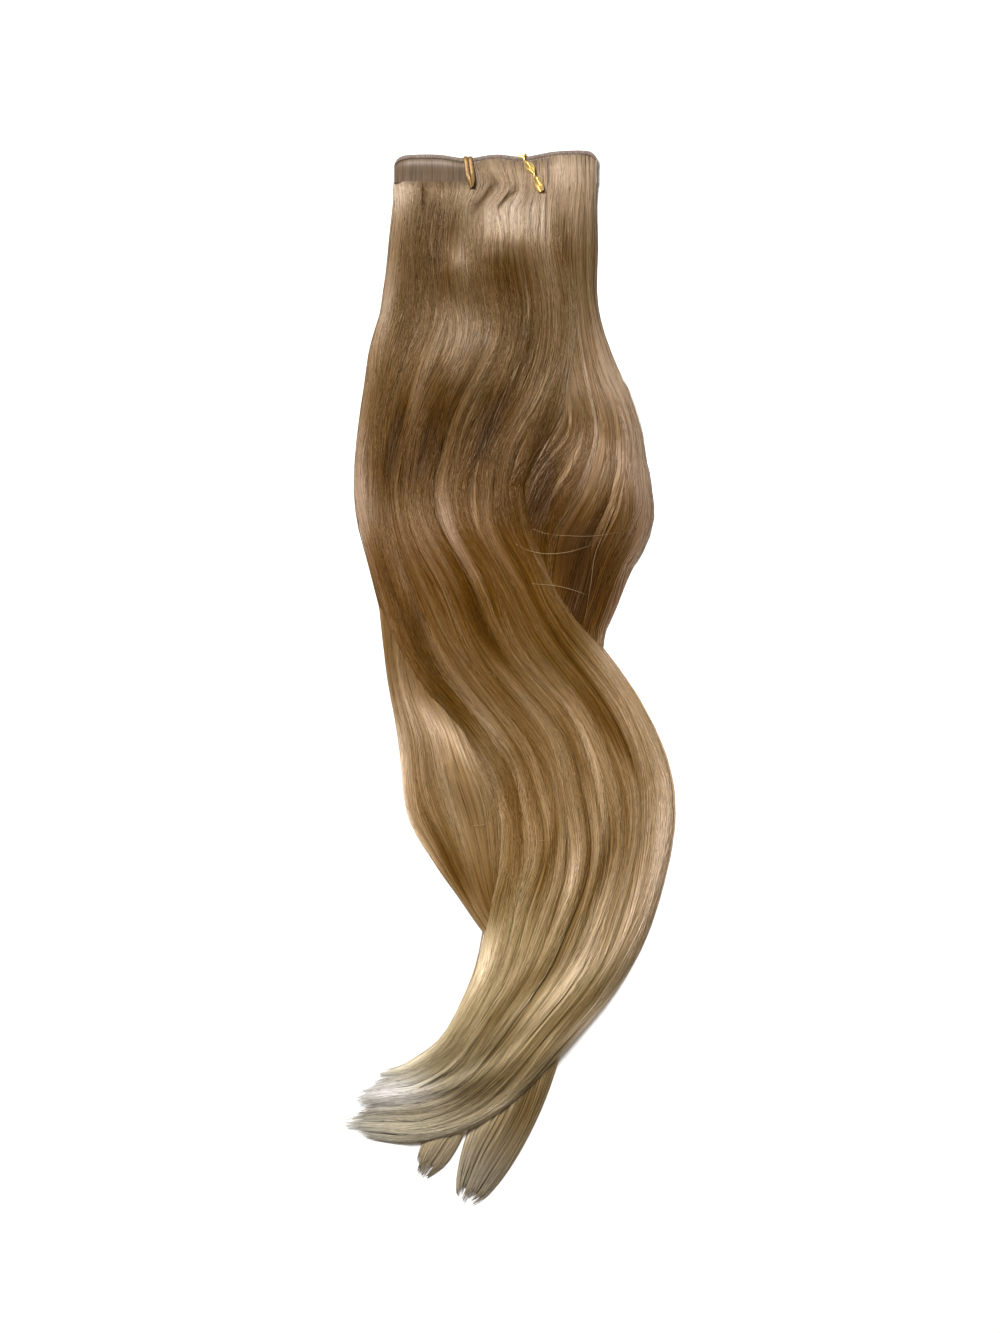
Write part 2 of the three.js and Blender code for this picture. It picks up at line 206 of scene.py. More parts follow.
# Tones make streaks of hair darker or lighter, from the weft down to the tips. Some are the hair's own
# darker and lighter streaks. Many are painted highlights where the waves catch the light, and painted
# shade in the crease by the main lock's edge, under its edges and between the tufts
STREAKS_AND_PAINTED_LIGHT = spots(
    (34, -9, 10, 14, 0, 0.18),
    (-18, -20, 8, 8, 0, 0.18),
    (-47, -21, 11, 7, 0, 0.34),
    (12, -33, 13, 21, 0, 0.55),
    (-3, -36, 10, 6, 0, 0.16),
    (-30, -36, 10, 8, 0, -0.12),
    (33, -41, 15, 5, -10, -0.45),
    (-32, -46, 28, 11, 2, -0.5),
    (-20, -51, 8.5, 6.5, -10, 0.42),
    (25, -62, 12, 9, 0, 0.12),
    (3, -64, 15, 12, 0, -0.34),
    (-37, -80, 18, 6, 10, 0.08),
    (-48, -82, 16, 4.5, 8, -0.13),
    (-56, -83, 20, 5, 8, 0.36),
    (13, -84, 16, 10, 10, -0.22),
    (36, -88, 16, 12, 0, 0.1),
    (-21, -92, 14, 13, 10, 0.34),
    (-6, -93, 9, 7, 10, 0.22),
    (52, -98, 28, 6, -14, 0.3),
    (30, -112, 20, 3, 26, 0.17),
    (50, -117, 14, 15, -10, 0.25),
    (34, -118, 16, 8, 20, 0.17),
    (-43, -118, 10, 6, 8, 0.14),
    (6, -120, 30, 4.5, 28, -0.23),
    (17, -121, 14, 4, 35, 0.15),
    (64, -125, 22, 8, -16, 0.32),
    (28, -126, 25, 3.5, 20, -0.24),
    (-5, -134, 20, 5.5, 18, -0.48),
    (-33, -141, 21, 5.5, 16, -0.5),
    (-51, -144, 24, 5.5, 10, -0.56),
    (-18, -144, 14, 6, 10, -0.12),
    (41, -149, 13, 7, 24, 0.35),
    (60, -152, 14, 8, 15, 0.45),
    (5, -155, 22, 12, 10, -0.2),
    (69, -160, 14, 7, 12, 0.3),
    (-45, -160, 18, 10, 5, -0.15),
    (74, -165, 32, 6, -2, 0.22),
    (54, -166, 9, 7, 20, 0.2),
    (-69, -168, 48, 5, 0, 0.38),
    (22, -168, 24, 7, 8, -0.64),
    (38, -178, 22, 12, 12, -0.19),
    (-62, -178, 18, 10, -8, 0.24),
    (5, -180, 11, 6, -15, -0.15),
    (-27, -184, 18, 14, -20, 0.25),
    (70, -190, 25, 8, 10, 0.2),
    (-16, -192, 13, 5, -20, -0.12),
    (34, -201, 18, 8, 15, -0.25),
    (70, -210, 18, 6, 22, 0.25),
    (-48, -217, 12, 5, -15, 0.13),
    (46, -220, 30, 14, 18, -0.36),
    (-8, -224, 9, 6, -32, -0.2),
    (59, -232, 24, 5, 20, 0.1),
    (12, -233, 20, 7, -36, -0.13),
    (-41, -240, 38, 4.5, -26, -0.33),
    (-6, -240, 20, 5, -36, -0.34),
    (22, -242, 24, 3, -36, 0.2),
    (-34, -247, 14, 4.5, -26, 0.14),
    (57, -249, 8, 6, 0, 0.12),
    (10, -268, 26, 3, -36, 0.2),
    (56, -286, 25, 3.5, -32, -0.39),
    (-36, -287, 20, 7, -40, 0.18),
    (-26, -289, 19, 4.5, -42, 0.3),
    (39, -298, 22, 3, -20, -0.28),
    (-47, -300, 25, 4.5, -6, 0.25),
    (7, -300, 12, 4.5, -25, -0.18),
    (-4, -301, 12, 4.5, -25, 0.15),
    (18, -316, 16, 8, -8, -0.12),
    (11, -328, 42, 9, 0, -0.22),
    (82, -342, 34, 7, 4, 0.4),
    (-24, -352, 20, 6, -25, -0.24),
    (24, -358, 26, 2.5, 14, -0.35),
    (37, -362, 26, 3.5, 18, 0.2),
    (-15, -364, 14, 12, -25, -0.16),
    (48, -368, 26, 2.5, 20, -0.35),
    (70, -376, 24, 7, 20, 0.36),
    (0, -376, 18, 7, 12, -0.26),
    (51, -377, 20, 8, 18, 0.15),
    (29, -381, 14, 4.5, 15, -0.22),
    (-4, -402, 24, 5, 18, 0.42),
    (52, -408, 22, 10, 40, 0.1),
    (40, -409, 26, 5, 48, 0.22),
    (15, -415, 18, 4, 46, -0.35),
    (17, -423, 12, 6, 50, 0.15),
    (44, -424, 18, 3.5, 46, -0.3),
    (56, -428, 20, 4, 42, 0.4),
    (-4, -433, 12, 5, 45, -0.25),
    (45, -440, 17, 6, 45, 0.45),
    (-4, -444, 10, 6, 45, -0.16),
    (-21, -450, 12, 5, 60, -0.25),
    (-36, -452, 14, 4, 65, 0.1),
    (2, -453, 30, 2.5, 66, 0.25),
    (11, -455, 26, 12, 50, -0.2),
    (-11, -469, 15, 4.5, 65, -0.42),
    (22, -472, 24, 6, 24, -0.16),
    (3, -477, 12, 3, 55, 0.33),
    (13, -478, 12, 7, 45, -0.2),
    (-42, -479, 16, 2, 85, -0.28),
    (-12, -488, 22, 3.5, 70, 0.22),
    (6, -494, 25, 14, 22, -0.15),
    (-14, -514, 22, 26, 30, -0.22),
)

# White mixes into the hair: a whiter tuft at the tail's upper tip, and a little grey on the tips under
# the tail, which is painted shade
WHITE_AND_SHADE_GREY_SPOTS = spots(
    (-57, -470, 19, 7, 88, 1),
    (-14, -514, 26, 30, 30, 0.16),
)
WHITE_MIX_COLOUR = (0.78, 0.755, 0.73, 1)

# Leans push the hair sideways by a share of its distance up from their middle
LEANS = spots(
    (-4, -21, 9, 13, 0, 0.75),
    (8, -24, 8, 9, 0, 0.4),
    (-22, -125, 40, 30, 0, 0.2),
    (-20, -198, 30, 32, 0, -0.25),
    (42, -180, 40, 20, 0, 0.2),
    (-32, -282, 18, 13, 0, -0.15),
    (32, -414, 36, 24, 0, 0.3),
)

# Slits where the hair parts and dips, painted darker inside: painted shade
SLITS = [
    {"from": (0, -14.5), "to": (-12.5, -29), "width": 1.3},
    {"from": (9.5, -18), "to": (1, -26), "width": 1.2},
    {"from": (-37, -17), "to": (-36.5, -27.5), "width": 0.8},
    {"from": (-12, -468), "to": (-68, -478.5), "width": 2.0},
    {"from": (12, -443), "to": (-34, -466), "width": 1.2},
]
SLIT_DEPTH = 1.6

# How far the main lock's tips reach into its last section, from its upper to its lower edge
TIP_ACROSS = (-1.0, -0.8, -0.45, -0.05, 0.45, 0.8, 1.0)
TIP_REACH = (0.0, 0.05, 0.68, 0.4, 1.0, 0.6, 0.4)

# Single pale hairs that lie across the others, as x and y along each
STRAYS = [
    [(18, -188), (25, -190.5), (36, -191.5), (49, -191.5), (61.5, -189.5)],
    [(9, -195.5), (16, -199), (25, -200.5), (36, -199.5), (47.5, -196)],
    [(17.5, -215.5), (24, -216), (30, -216.5), (38, -218.5), (45, -221)],
    [(60, -174.5), (54, -188.5), (49, -201), (47, -215), (44, -233.5)],
    [(-12, -336.5), (-8, -336), (-4.5, -335.5)],
    [(20.5, -343.5), (23, -343.2), (25, -342.5)],
    [(23.5, -304.5), (25, -302), (26.5, -299.5)],
    [(-9, -258), (-3.5, -259.5), (0, -262.5)],
]

STRAY_RADIUS = 0.11
STRAY_STEPS = 16
STRAY_LIFT = 1.4
STRAY_VALUES = {"along": 0.7, "tone": 0.62}

# Strands come out a little below the weft's top edge and lie in thin wisps, with some loose ones
ROOT_DROP = 2.1
STRAND_SIDES = 3
STRAND_RADIUS = 0.17
STRAND_FRAY = 0.006
STRAND_LIFT = 0.08
WISP_SPREAD = 0.45
WISP_WIDE = 0.3
WISP_THICK = 0.22
LOOSE_SHARE = 0.18
LOOSE_FRAY = 0.05
LOOSE_LIFT = 0.3
LOOSE_TONE = 0.08

# Tones go from 0, dark, to 1, light, and 0.5 leaves the hair's colour as it is
STRAND_TONE = 0.5
# The inner body is painted a little darker than the strands: painted shade under them
CORE_SHADE_TONE = 0.44
DARKEST_TONE = 0.06
# The slits are painted darker: painted shade in them
SLIT_SHADE_TONE = -0.3
# The locks' thin edges are painted lighter: painted light
RIM_LIGHT_TONE = 0.2
RIM_POWER = 10

# The inner bodies: fine ripples, a least thickness, and one column underneath for several on top
CORE_RIPPLE = 0.12
CORE_THIN = 0.3
CORE_SKIP = 6

WANDER_STEPS = np.linspace(0, 1, 240)

track_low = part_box("weft_track")[0]
band_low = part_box("weft_band")[0]
ORIGIN = np.array([track_low.x - WEFT_LEFT * MM, band_low.y - BAND_BOTTOM * MM, 0.0])


# Curves and locks


def catmull(rows, along):
    """Values and slopes, at shares along it, of a smooth curve through the rows."""
    last = len(rows) - 1
    padded = np.vstack([2 * rows[0] - rows[1], rows, 2 * rows[-1] - rows[-2]])
    place = np.clip(along, 0, 1) * last
    start = np.minimum(place.astype(int), last - 1)
    w = (place - start)[..., None]
    a, b, c, d = (padded[start + k] for k in range(4))
    square = 2 * a - 5 * b + 4 * c - d
    cube = 3 * b - a - 3 * c + d
    value = 0.5 * (2 * b + (c - a) * w + square * w**2 + cube * w**3)
    slope = 0.5 * ((c - a) + 2 * square * w + 3 * cube * w**2)
    return value, slope


def hill(spot, x, y):
    """A soft hill of height 1 over a spot."""
    turn = math.radians(spot.turn)
    right, up = x - spot.x, y - spot.y
    down = -right * math.sin(turn) - up * math.cos(turn)
    aside = right * math.cos(turn) - up * math.sin(turn)
    return np.exp(-((down / spot.long) ** 2) - (aside / spot.wide) ** 2)


def effect(spots, x, y):
    """The amounts of some spots together, at places over the locks."""
    return sum(spot.amount * hill(spot, x, y) for spot in spots)


def parting(x, y):
    """How deep places lie in the slits, from 0 to 1."""
    deep = np.zeros_like(x)
    for slit in SLITS:
        x0, y0 = slit["from"]
        dx, dy = slit["to"][0] - x0, slit["to"][1] - y0
        share = np.clip(((x - x0) * dx + (y - y0) * dy) / (dx * dx + dy * dy), 0, 1)
        away = np.hypot(x - x0 - share * dx, y - y0 - share * dy)
        deep = np.maximum(deep, np.exp(-((away / slit["width"]) ** 2)))
    return deep


class Lock:
    """A lock of hair: smooth curves through a table with one row for each section."""

    SWAYS = 8
    STEPS = np.linspace(0, 1, 600)
    COLUMNS = np.linspace(-1, 1, 60)
    BROAD_COLUMNS = np.linspace(-1, 1, 9)
    FINE_SHIFT = 0.6

    def __init__(self, rng, rows, sway):
        self.rows = np.array(rows, float)
        self.sway = sway
        broad = rng.normal(0, 1, len(self.BROAD_COLUMNS))
        fine = rng.normal(0, self.FINE_SHIFT, len(self.COLUMNS))
        self.shift = SWELL_SHIFT * (np.interp(self.COLUMNS, self.BROAD_COLUMNS, broad) + fine)
        spine = catmull(self.rows, self.STEPS)[0][:, :2]
        lengths = np.linalg.norm(np.diff(spine, axis=0), axis=1)
        self.shares = np.concatenate([[0], np.cumsum(lengths)]) / lengths.sum()

    def row(self, number):
        """The share along the lock of one of its table's rows."""
        return number / (len(self.rows) - 1)

    def length_share(self, along):
        """How far down the hair's real length a share along the table is."""
        return np.interp(along, self.STEPS, self.shares)

    def place(self, along, across, lift):
        """Points over the lock's top, with across from -1 to 1 and lift above the top."""
        size, slope = catmull(self.rows, along)
        flow = slope[..., :2] / np.linalg.norm(slope[..., :2], axis=-1, keepdims=True)
        u = np.clip(across, -1, 1)
        inner = 1 - u**2
        wave = self.sway * np.sin(2 * math.pi * self.SWAYS * self.length_share(along))
        reach = across * size[..., WIDTH] / 2 + wave * inner
        x = size[..., X] - flow[..., 1] * reach
        y = size[..., Y] + flow[..., 0] * reach
        x = x + sum(spot.amount * (y - spot.y) * hill(spot, x, y) for spot in LEANS)
        edge = size[..., LEFT] + (size[..., RIGHT] - size[..., LEFT]) * (u + 1) / 2
        dome = (size[..., CREST] - (size[..., LEFT] + size[..., RIGHT]) / 2) * inner**DOME_POWER
        swell = effect(SWELLS, x, y + np.interp(u, self.COLUMNS, self.shift))
        rise = edge + dome + swell * inner - SLIT_DEPTH * parting(x, y) - size[..., BASE]
        z = size[..., BASE] + (rise + lift) * np.sqrt(1 - np.abs(u) ** WALL_POWER)
        return np.stack([x, y, z], axis=-1)


def root_start(lock, across):
    """The share along a lock where its strands come out from under the track."""
    first, second = lock.rows[:2]
    x = first[X] + across * first[WIDTH] / 2
    return lock.row((first[Y] - top_edge(x) + ROOT_DROP) / (first[Y] - second[Y]))


def drift(rng, along, count, waves):
    """A slow wandering from about -1 to 1 along each of count strands or clumps."""
    total = np.zeros((count, along.shape[-1]))
    for wave in waves:
        phase = rng.uniform(0, 2 * math.pi, (count, 1))
        total += np.sin(2 * math.pi * wave * along + phase)
    return total / len(waves)


class Clumps:
    """The clumps that a lock's hair gathers into, which wander, swell and thin down the lock."""

    WANDER = 0.06
    GIRTH_DRIFT = 0.25
    TONE_SPREAD = 0.055
    TONE_DRIFT = 0.13
    # The clumps' edges and the grooves between them are painted darker: painted shade
    EDGE_SHADE_TONE = -0.22
    GROOVE_DEPTH = 0.1
    GROOVE_SHADE_TONE = -0.2

    def __init__(self, rng, count, depth, lift, gather, stand):
        pitch = 2 / count
        self.count = count
        self.gather = gather
        self.stand = stand
        self.centre = -1 + pitch * (np.arange(count) + rng.uniform(0.25, 0.75, count))
        self.half = pitch * rng.uniform(0.6, 1.0, count)
        self.depth = depth * rng.uniform(0.6, 1.3, count)
        self.rest = lift * rng.uniform(-0.5, 1, count)
        self.bend = self.WANDER * drift(rng, WANDER_STEPS, count, (1.3, 2.9, 5.1, 8.3))
        self.girth = 1 + self.GIRTH_DRIFT * drift(rng, WANDER_STEPS, count, (2.3, 4.7))
        own_tone = rng.normal(0, self.TONE_SPREAD, (count, 1))
        self.tone = own_tone + self.TONE_DRIFT * drift(rng, WANDER_STEPS, count, (1.7, 3.9))

    def line(self, number, along):
        """The middle and the half width of one clump, as shares of the lock's half width."""
        ease = np.interp(along, (0, 0.1, 0.35), (0, 0.35, 1))
        centre = self.centre[number] + ease * np.interp(along, WANDER_STEPS, self.bend[number])
        half = self.half[number] * np.interp(along, WANDER_STEPS, self.girth[number])
        return centre, half * np.interp(along, (0, 0.35, 0.85, 1), self.gather)

    def growth(self, along):
        """How far the clumps stand out, from combed flat at the root to full."""
        return np.interp(along, (0, 0.2, 0.45, 0.8, 1), self.stand)

    def bump(self, number, along, inside):
        """The height of one clump at a share inside its half width."""
        return self.growth(along) * (self.rest[number] + self.depth[number] * (1 - inside**2))

    def shade(self, number, along, inside):
        """The change of tone of one clump: its own tone, and painted shade that darkens it towards its
        edges.
        """
        growth = self.growth(along)
        tone = np.interp(along, WANDER_STEPS, self.tone[number])
        return (0.25 + 0.75 * growth) * tone + self.EDGE_SHADE_TONE * growth * inside**4

    def lay(self, clump, along, inside):
        """Where strands in the clumps lie across the lock, their height and their change of tone."""
        across, lift, shade = np.zeros((3, *along.shape))
        for number in range(self.count):
            chosen = clump == number
            centre, half = self.line(number, along[chosen])
            across[chosen] = centre + half * inside[chosen]
            lift[chosen] = self.bump(number, along[chosen], inside[chosen])
            shade[chosen] = self.shade(number, along[chosen], inside[chosen])
        return across, lift, shade

    def relief(self, along, across):
        """The height of all the clumps together, with grooves between them, and their tone, with painted
        shade in the grooves.
        """
        height = -self.GROOVE_DEPTH * self.depth.mean() * self.growth(along) + 0 * across
        shade = np.full(height.shape, self.GROOVE_SHADE_TONE)
        for number in range(self.count):
            centre, half = self.line(number, along)
            inside = (across - centre) / half
            bump = self.bump(number, along, inside)
            chosen = (np.abs(inside) < 1) & (bump > height)
            height = np.where(chosen, bump, height)
            shade = np.where(chosen, self.shade(number, along, inside), shade)
        return height, shade


class Wisps:
    """The small wisps inside the clumps, in which the strands lie close together."""

    REACH = 0.85
    BEND = 0.2
    TONE_SPREAD = 0.07

    def __init__(self, rng, clumps, count, tip_spread):
        self.count = count
        self.clump = rng.choice(clumps.count, count, p=clumps.half / clumps.half.sum())
        self.inside = rng.uniform(-self.REACH, self.REACH, count)
        self.bend = self.BEND * drift(rng, WANDER_STEPS, count, (2.2, 4.9))
        self.tone = rng.normal(0, self.TONE_SPREAD, count)
        self.tip = rng.uniform(-tip_spread, 0, count)


class HeightMap:
    """The height, on a fine grid, of the tops of some locks."""

    CELL = 1
    MARGIN = 20
    ALONG = np.linspace(0, 1, 1500)
    ACROSS = np.linspace(-1, 1, 160)

    def __init__(self, locks):
        low, high = ((np.array(corner[:2]) - ORIGIN[:2]) / MM for corner in cad_box)
        self.low = low - self.MARGIN
        self.heights = np.zeros(np.ceil((high + self.MARGIN - self.low) / self.CELL).astype(int))
        along, across = np.meshgrid(self.ALONG, self.ACROSS, indexing="ij")
        for lock in locks:
            points = lock.place(along, across, 0).reshape(-1, 3)
            np.maximum.at(self.heights, self.cells(points), points[:, 2])

    def cells(self, points):
        cells = ((points[..., :2] - self.low) / self.CELL).astype(int)
        return cells[..., 0], cells[..., 1]

    def height(self, points):
        return self.heights[self.cells(points)]


# Meshes


def make_object(name, parts, material):
    """One smooth mesh object from parts, each a dictionary of arrays."""
    vertices = np.concatenate([part["vertices"] for part in parts]) * MM + ORIGIN
    counts = np.cumsum([0] + [len(part["vertices"]) for part in parts])
    faces = np.concatenate([part["faces"] + start for part, start in zip(parts, counts)])
    sizes = np.concatenate([part["sizes"] for part in parts])
    mesh = bpy.data.meshes.new(name)
    mesh.vertices.add(len(vertices))
    mesh.vertices.foreach_set("co", vertices.astype(np.float32).ravel())
    mesh.loops.add(len(faces))
    mesh.loops.foreach_set("vertex_index", faces.astype(np.int32))
    mesh.polygons.add(len(sizes))
    mesh.polygons.foreach_set("loop_start", (np.cumsum(sizes) - sizes).astype(np.int32))
    mesh.polygons.foreach_set("use_smooth", np.ones(len(sizes), bool))
    for key in parts[0]["values"]:
        numbers = np.concatenate([part["values"][key].ravel() for part in parts])
        mesh.attributes.new(key, "FLOAT", "POINT").data.foreach_set("value", numbers.astype(np.float32))
    if len(parts) == 1:
        places = parts[0]["places"].astype(np.float32)
        mesh.uv_layers.new(name="OFBake").data.foreach_set("uv", places.ravel())
    mesh.update(calc_edges=True)
    mesh.validate()
    mesh.materials.append(material)
    piece = bpy.data.objects.new(name, mesh)
    bpy.context.collection.objects.link(piece)
    return piece


def skin(rings, values):
    """Closed skins over rings[tube, step, corner], each end shut by one face, and their places in a map."""
    count, steps, corners = rings.shape[:3]

    def index(tube, step, corner):
        return (tube * steps + step) * corners + corner % corners

    def joined(arrays):
        return np.concatenate([array.ravel() for array in arrays])

    counts = np.arange(count), np.arange(steps - 1), np.arange(corners)
    tube, step, corner = np.meshgrid(*counts, indexing="ij")
    quad = [(0, 0), (0, 1), (1, 1), (1, 0)]
    sides = np.stack([index(tube, step + a, corner + b) for a, b in quad], axis=-1)
    column = np.stack([tube + (corner + b) / corners for a, b in quad], axis=-1) / count
    height = np.stack([step + a for a, b in quad], axis=-1) / (steps - 1)

    tube, corner = np.meshgrid(np.arange(count), np.arange(corners), indexing="ij")
    start = index(tube, 0, corner[:, ::-1])
    end = index(tube, steps - 1, corner)
    end_column = (tube + corner / corners) / count
    columns = joined([column, end_column[:, ::-1], end_column])
    heights = joined([height, np.zeros(start.shape), np.ones(end.shape)])
    return {
        "vertices": rings.reshape(-1, 3),
        "faces": joined([sides, start, end]),
        "sizes": np.concatenate([np.full(sides.size // 4, 4), np.full(2 * count, corners)]),
        "values": {key: np.broadcast_to(numbers, rings.shape[:3]) for key, numbers in values.items()},
        "places": np.stack([columns, heights], axis=-1),
    }


def tubes(paths, radii, values, rng):
    """Closed three-sided tubes along paths[strand, step], each turned by chance."""
    ahead = np.gradient(paths, axis=1)
    ahead /= np.linalg.norm(ahead, axis=-1, keepdims=True) + 1e-9
    side = np.cross(ahead, (0, 0, 1))
    side /= np.linalg.norm(side, axis=-1, keepdims=True) + 1e-9
    over = np.cross(side, ahead)
    turn = rng.uniform(0, 2 * math.pi, (len(paths), 1))
    turn = turn + 2 * math.pi * np.arange(STRAND_SIDES) / STRAND_SIDES
    sideways = np.cos(turn)[:, None, :, None] * side[:, :, None]
    upwards = np.sin(turn)[:, None, :, None] * over[:, :, None]
    rings = paths[:, :, None] + radii[:, :, None, None] * (sideways + upwards)
    return skin(rings, {key: np.asarray(numbers)[..., None] for key, numbers in values.items()})


def finish_piece(piece, slot, *nodes):
    """Lets a piece ride on the body and hides the CAD nodes that it stands for. Its finish, the slot, is
    not used.
    """
    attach(piece, "root")
    if nodes:
        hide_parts(*nodes)


# Materials


class Nodes:
    """A new material with a Principled shader, and short ways to add nodes to it."""

    def __init__(self, name, roughness, metallic=0.0):
        self.material = bpy.data.materials.new(name)
        self.material.use_nodes = True
        self.tree = self.material.node_tree
        self.shader = self.tree.nodes["Principled BSDF"]
        self.set("Roughness", roughness)
        self.set("Metallic", metallic)

    def set(self, socket, value):
        self.shader.inputs[socket].default_value = value

    def add(self, kind, inputs, **settings):
        node = self.tree.nodes.new(kind)
        for key, value in settings.items():
            setattr(node, key, value)
        for key, value in inputs.items():
            if isinstance(value, bpy.types.NodeSocket):
                self.tree.links.new(value, node.inputs[key])
            else:
                node.inputs[key].default_value = value
        return node

    def attribute(self, name):
        return self.add("ShaderNodeAttribute", {}, attribute_name=name).outputs["Fac"]

    def noise(self, scale, detail, vector):
        inputs = {"Scale": scale, "Detail": detail, "Vector": vector}
        return self.add("ShaderNodeTexNoise", inputs).outputs["Fac"]

    def object_place(self, scale=(1, 1, 1)):
        place = self.add("ShaderNodeTexCoord", {}).outputs["Object"]
        return self.add("ShaderNodeMapping", {"Vector": place, "Scale": scale}).outputs["Vector"]

    def ramp(self, factor, stops):
        node = self.add("ShaderNodeValToRGB", {"Fac": factor})
        bar = node.color_ramp.elements
        while len(bar) < len(stops):
            bar.new(0.5)
        for element, (place, colour) in zip(bar, stops):
            element.position = place
            element.color = (*colour, 1)
        return node.outputs["Color"]

    def range(self, value, low, high):
        inputs = {"Value": value, "To Min": low, "To Max": high}
        return self.add("ShaderNodeMapRange", inputs).outputs["Result"]

    def math(self, operation, first, second):
        return self.add("ShaderNodeMath", {0: first, 1: second}, operation=operation).outputs["Value"]

    def colour(self, socket):
        self.tree.links.new(socket, self.shader.inputs["Base Color"])

    def bump(self, height, strength, distance):
        node = self.add("ShaderNodeBump", {"Height": height, "Strength": strength, "Distance": distance})
        self.tree.links.new(node.outputs["Normal"], self.shader.inputs["Normal"])


# Hair colour down its length, from the ash brown roots to the bleached tips
HAIR_STOPS = [
    (0.0, (0.262, 0.188, 0.12)),
    (0.03, (0.207, 0.142, 0.085)),
    (0.055, (0.145, 0.094, 0.048)),
    (0.085, (0.125, 0.075, 0.0305)),
    (0.14, (0.109, 0.062, 0.022)),
    (0.2, (0.106, 0.057, 0.0172)),
    (0.3, (0.1, 0.0485, 0.0118)),
    (0.37, (0.12, 0.057, 0.0138)),
    (0.48, (0.15, 0.083, 0.027)),
    (0.56, (0.275, 0.176, 0.083)),
    (0.66, (0.28, 0.177, 0.079)),
    (0.74, (0.333, 0.236, 0.114)),
    (0.82, (0.345, 0.257, 0.131)),
    (0.9, (0.32, 0.258, 0.152)),
    (0.95, (0.43, 0.385, 0.28)),
    (1.0, (0.5, 0.475, 0.41)),
]

# Brightness is this many times ten to the power of the tone, which comes to 1 at a tone of 0.5
TONE_GAIN = 0.316


def hair_nodes(name):
    """A hair material, and its colour, which follows the strand's length, its tone with its painted light
    and shade, and its white.
    """
    n = Nodes(name, roughness=0.34)
    n.set("IOR", 1.45)
    n.set("Specular IOR Level", 0.42)
    n.set("Specular Tint", (1, 0.72, 0.48, 1))
    colour = n.ramp(n.attribute("along"), HAIR_STOPS)
    mottle = n.noise(scale=25, detail=3, vector=n.object_place())
    patches = n.range(mottle, low=0.85, high=1.15)
    tone = n.attribute("tone")
    # Lower tones, painted shade among them, turn richer and a little redder. Higher tones, painted
    # highlights among them, turn paler
    brightness = n.math("MULTIPLY", n.math("POWER", 10, tone), TONE_GAIN)
    tone_saturation = n.range(tone, low=1.42, high=0.62)
    dark_tone_redness = n.range(n.math("MULTIPLY", tone, 2), low=0.486, high=0.5)
    value = n.math("MULTIPLY", patches, brightness)
    inputs = {"Hue": dark_tone_redness, "Saturation": tone_saturation, "Value": value, "Color": colour}
    toned = n.add("ShaderNodeHueSaturation", inputs).outputs["Color"]
    mix = {0: n.attribute("white"), 6: toned, 7: WHITE_MIX_COLOUR}
    return n, n.add("ShaderNodeMix", mix, data_type="RGBA").outputs[2]


def strand_material():
    """Single strands, coloured from root to tip."""
    n, toned = hair_nodes("hair_strands")
    n.colour(toned)
    return n.material


def core_material():
    """Hair packed in a body: fine streaks along the lock stand for the strands."""
    n, toned = hair_nodes("hair_inner")
    place = n.add("ShaderNodeCombineXYZ", {"X": n.attribute("over"), "Y": n.attribute("along")})
    inputs = {"Vector": place.outputs["Vector"], "Scale": (2.2, 14, 1)}
    stretch = n.add("ShaderNodeMapping", inputs)
    streaks = n.noise(scale=1, detail=4, vector=stretch.outputs["Vector"])
    value = n.range(streaks, low=0.65, high=1.2)
    streaked = n.add("ShaderNodeHueSaturation", {"Color": toned, "Value": value})
    n.colour(streaked.outputs["Color"])
    n.bump(streaks, strength=0.6, distance=0.0006)
    return n.material


def cloth_material(name, dark, light, thread_scale):
    """Matt thread, whose tone makes it lighter and greyer."""
    n = Nodes(name, roughness=0.75)
    n.set("Specular IOR Level", 0.2)
    threads = n.noise(scale=1, detail=2, vector=n.object_place(thread_scale))
    tone = n.range(n.attribute("tone"), low=0.5, high=1.5)
    colour = n.ramp(threads, [(0.3, dark), (0.7, light)])
    greyness = n.range(n.attribute("tone"), low=1.05, high=0.65)
    inputs = {"Color": colour, "Value": tone, "Saturation": greyness}
    toned = n.add("ShaderNodeHueSaturation", inputs)
    n.colour(toned.outputs["Color"])
    n.bump(threads, strength=0.5, distance=0.0003)
    return n.material


def track_material():
    """The thread wound round the seam, with grain alike in all directions."""
    return cloth_material("track_thread", (0.13, 0.09, 0.07), (0.24, 0.18, 0.14), (900, 900, 900))


def band_material():
    """The hair sewn into the band, with grain that runs down it."""
    return cloth_material("band_hair", (0.11, 0.068, 0.041), (0.185, 0.122, 0.076), (1500, 60, 60))


def gold_material(name, roughness, metallic, dark, light):
    """Crinkled gold foil."""
    n = Nodes(name, roughness, metallic)
    creases = n.noise(scale=900, detail=4, vector=n.object_place())
    n.colour(n.ramp(creases, [(0.3, dark), (0.7, light)]))
    n.bump(creases, strength=0.35, distance=0.0002)
    return n.material


def shaded_gold_material():
    """The left tie's foil, painted dull and brown: painted shade, the shaded copy of the gold."""
    return gold_material("gold_painted_shade", 0.5, 0.45, (0.14, 0.075, 0.022), (0.27, 0.16, 0.055))


def lit_gold_material():
    """The right tie's foil, painted bright: painted light, the lit copy of the gold."""
    return gold_material("gold_foil", 0.32, 0.85, (0.75, 0.48, 0.12), (1.0, 0.77, 0.34))


def clip_material():
    """Brown paint on metal, a little worn."""
    n = Nodes("clip_paint", roughness=0.42, metallic=0.2)
    wear = n.noise(scale=260, detail=4, vector=n.object_place())
    n.colour(n.ramp(wear, [(0.35, (0.2, 0.12, 0.055)), (0.75, (0.32, 0.21, 0.11))]))
    n.bump(wear, strength=0.15, distance=0.0002)
    return n.material


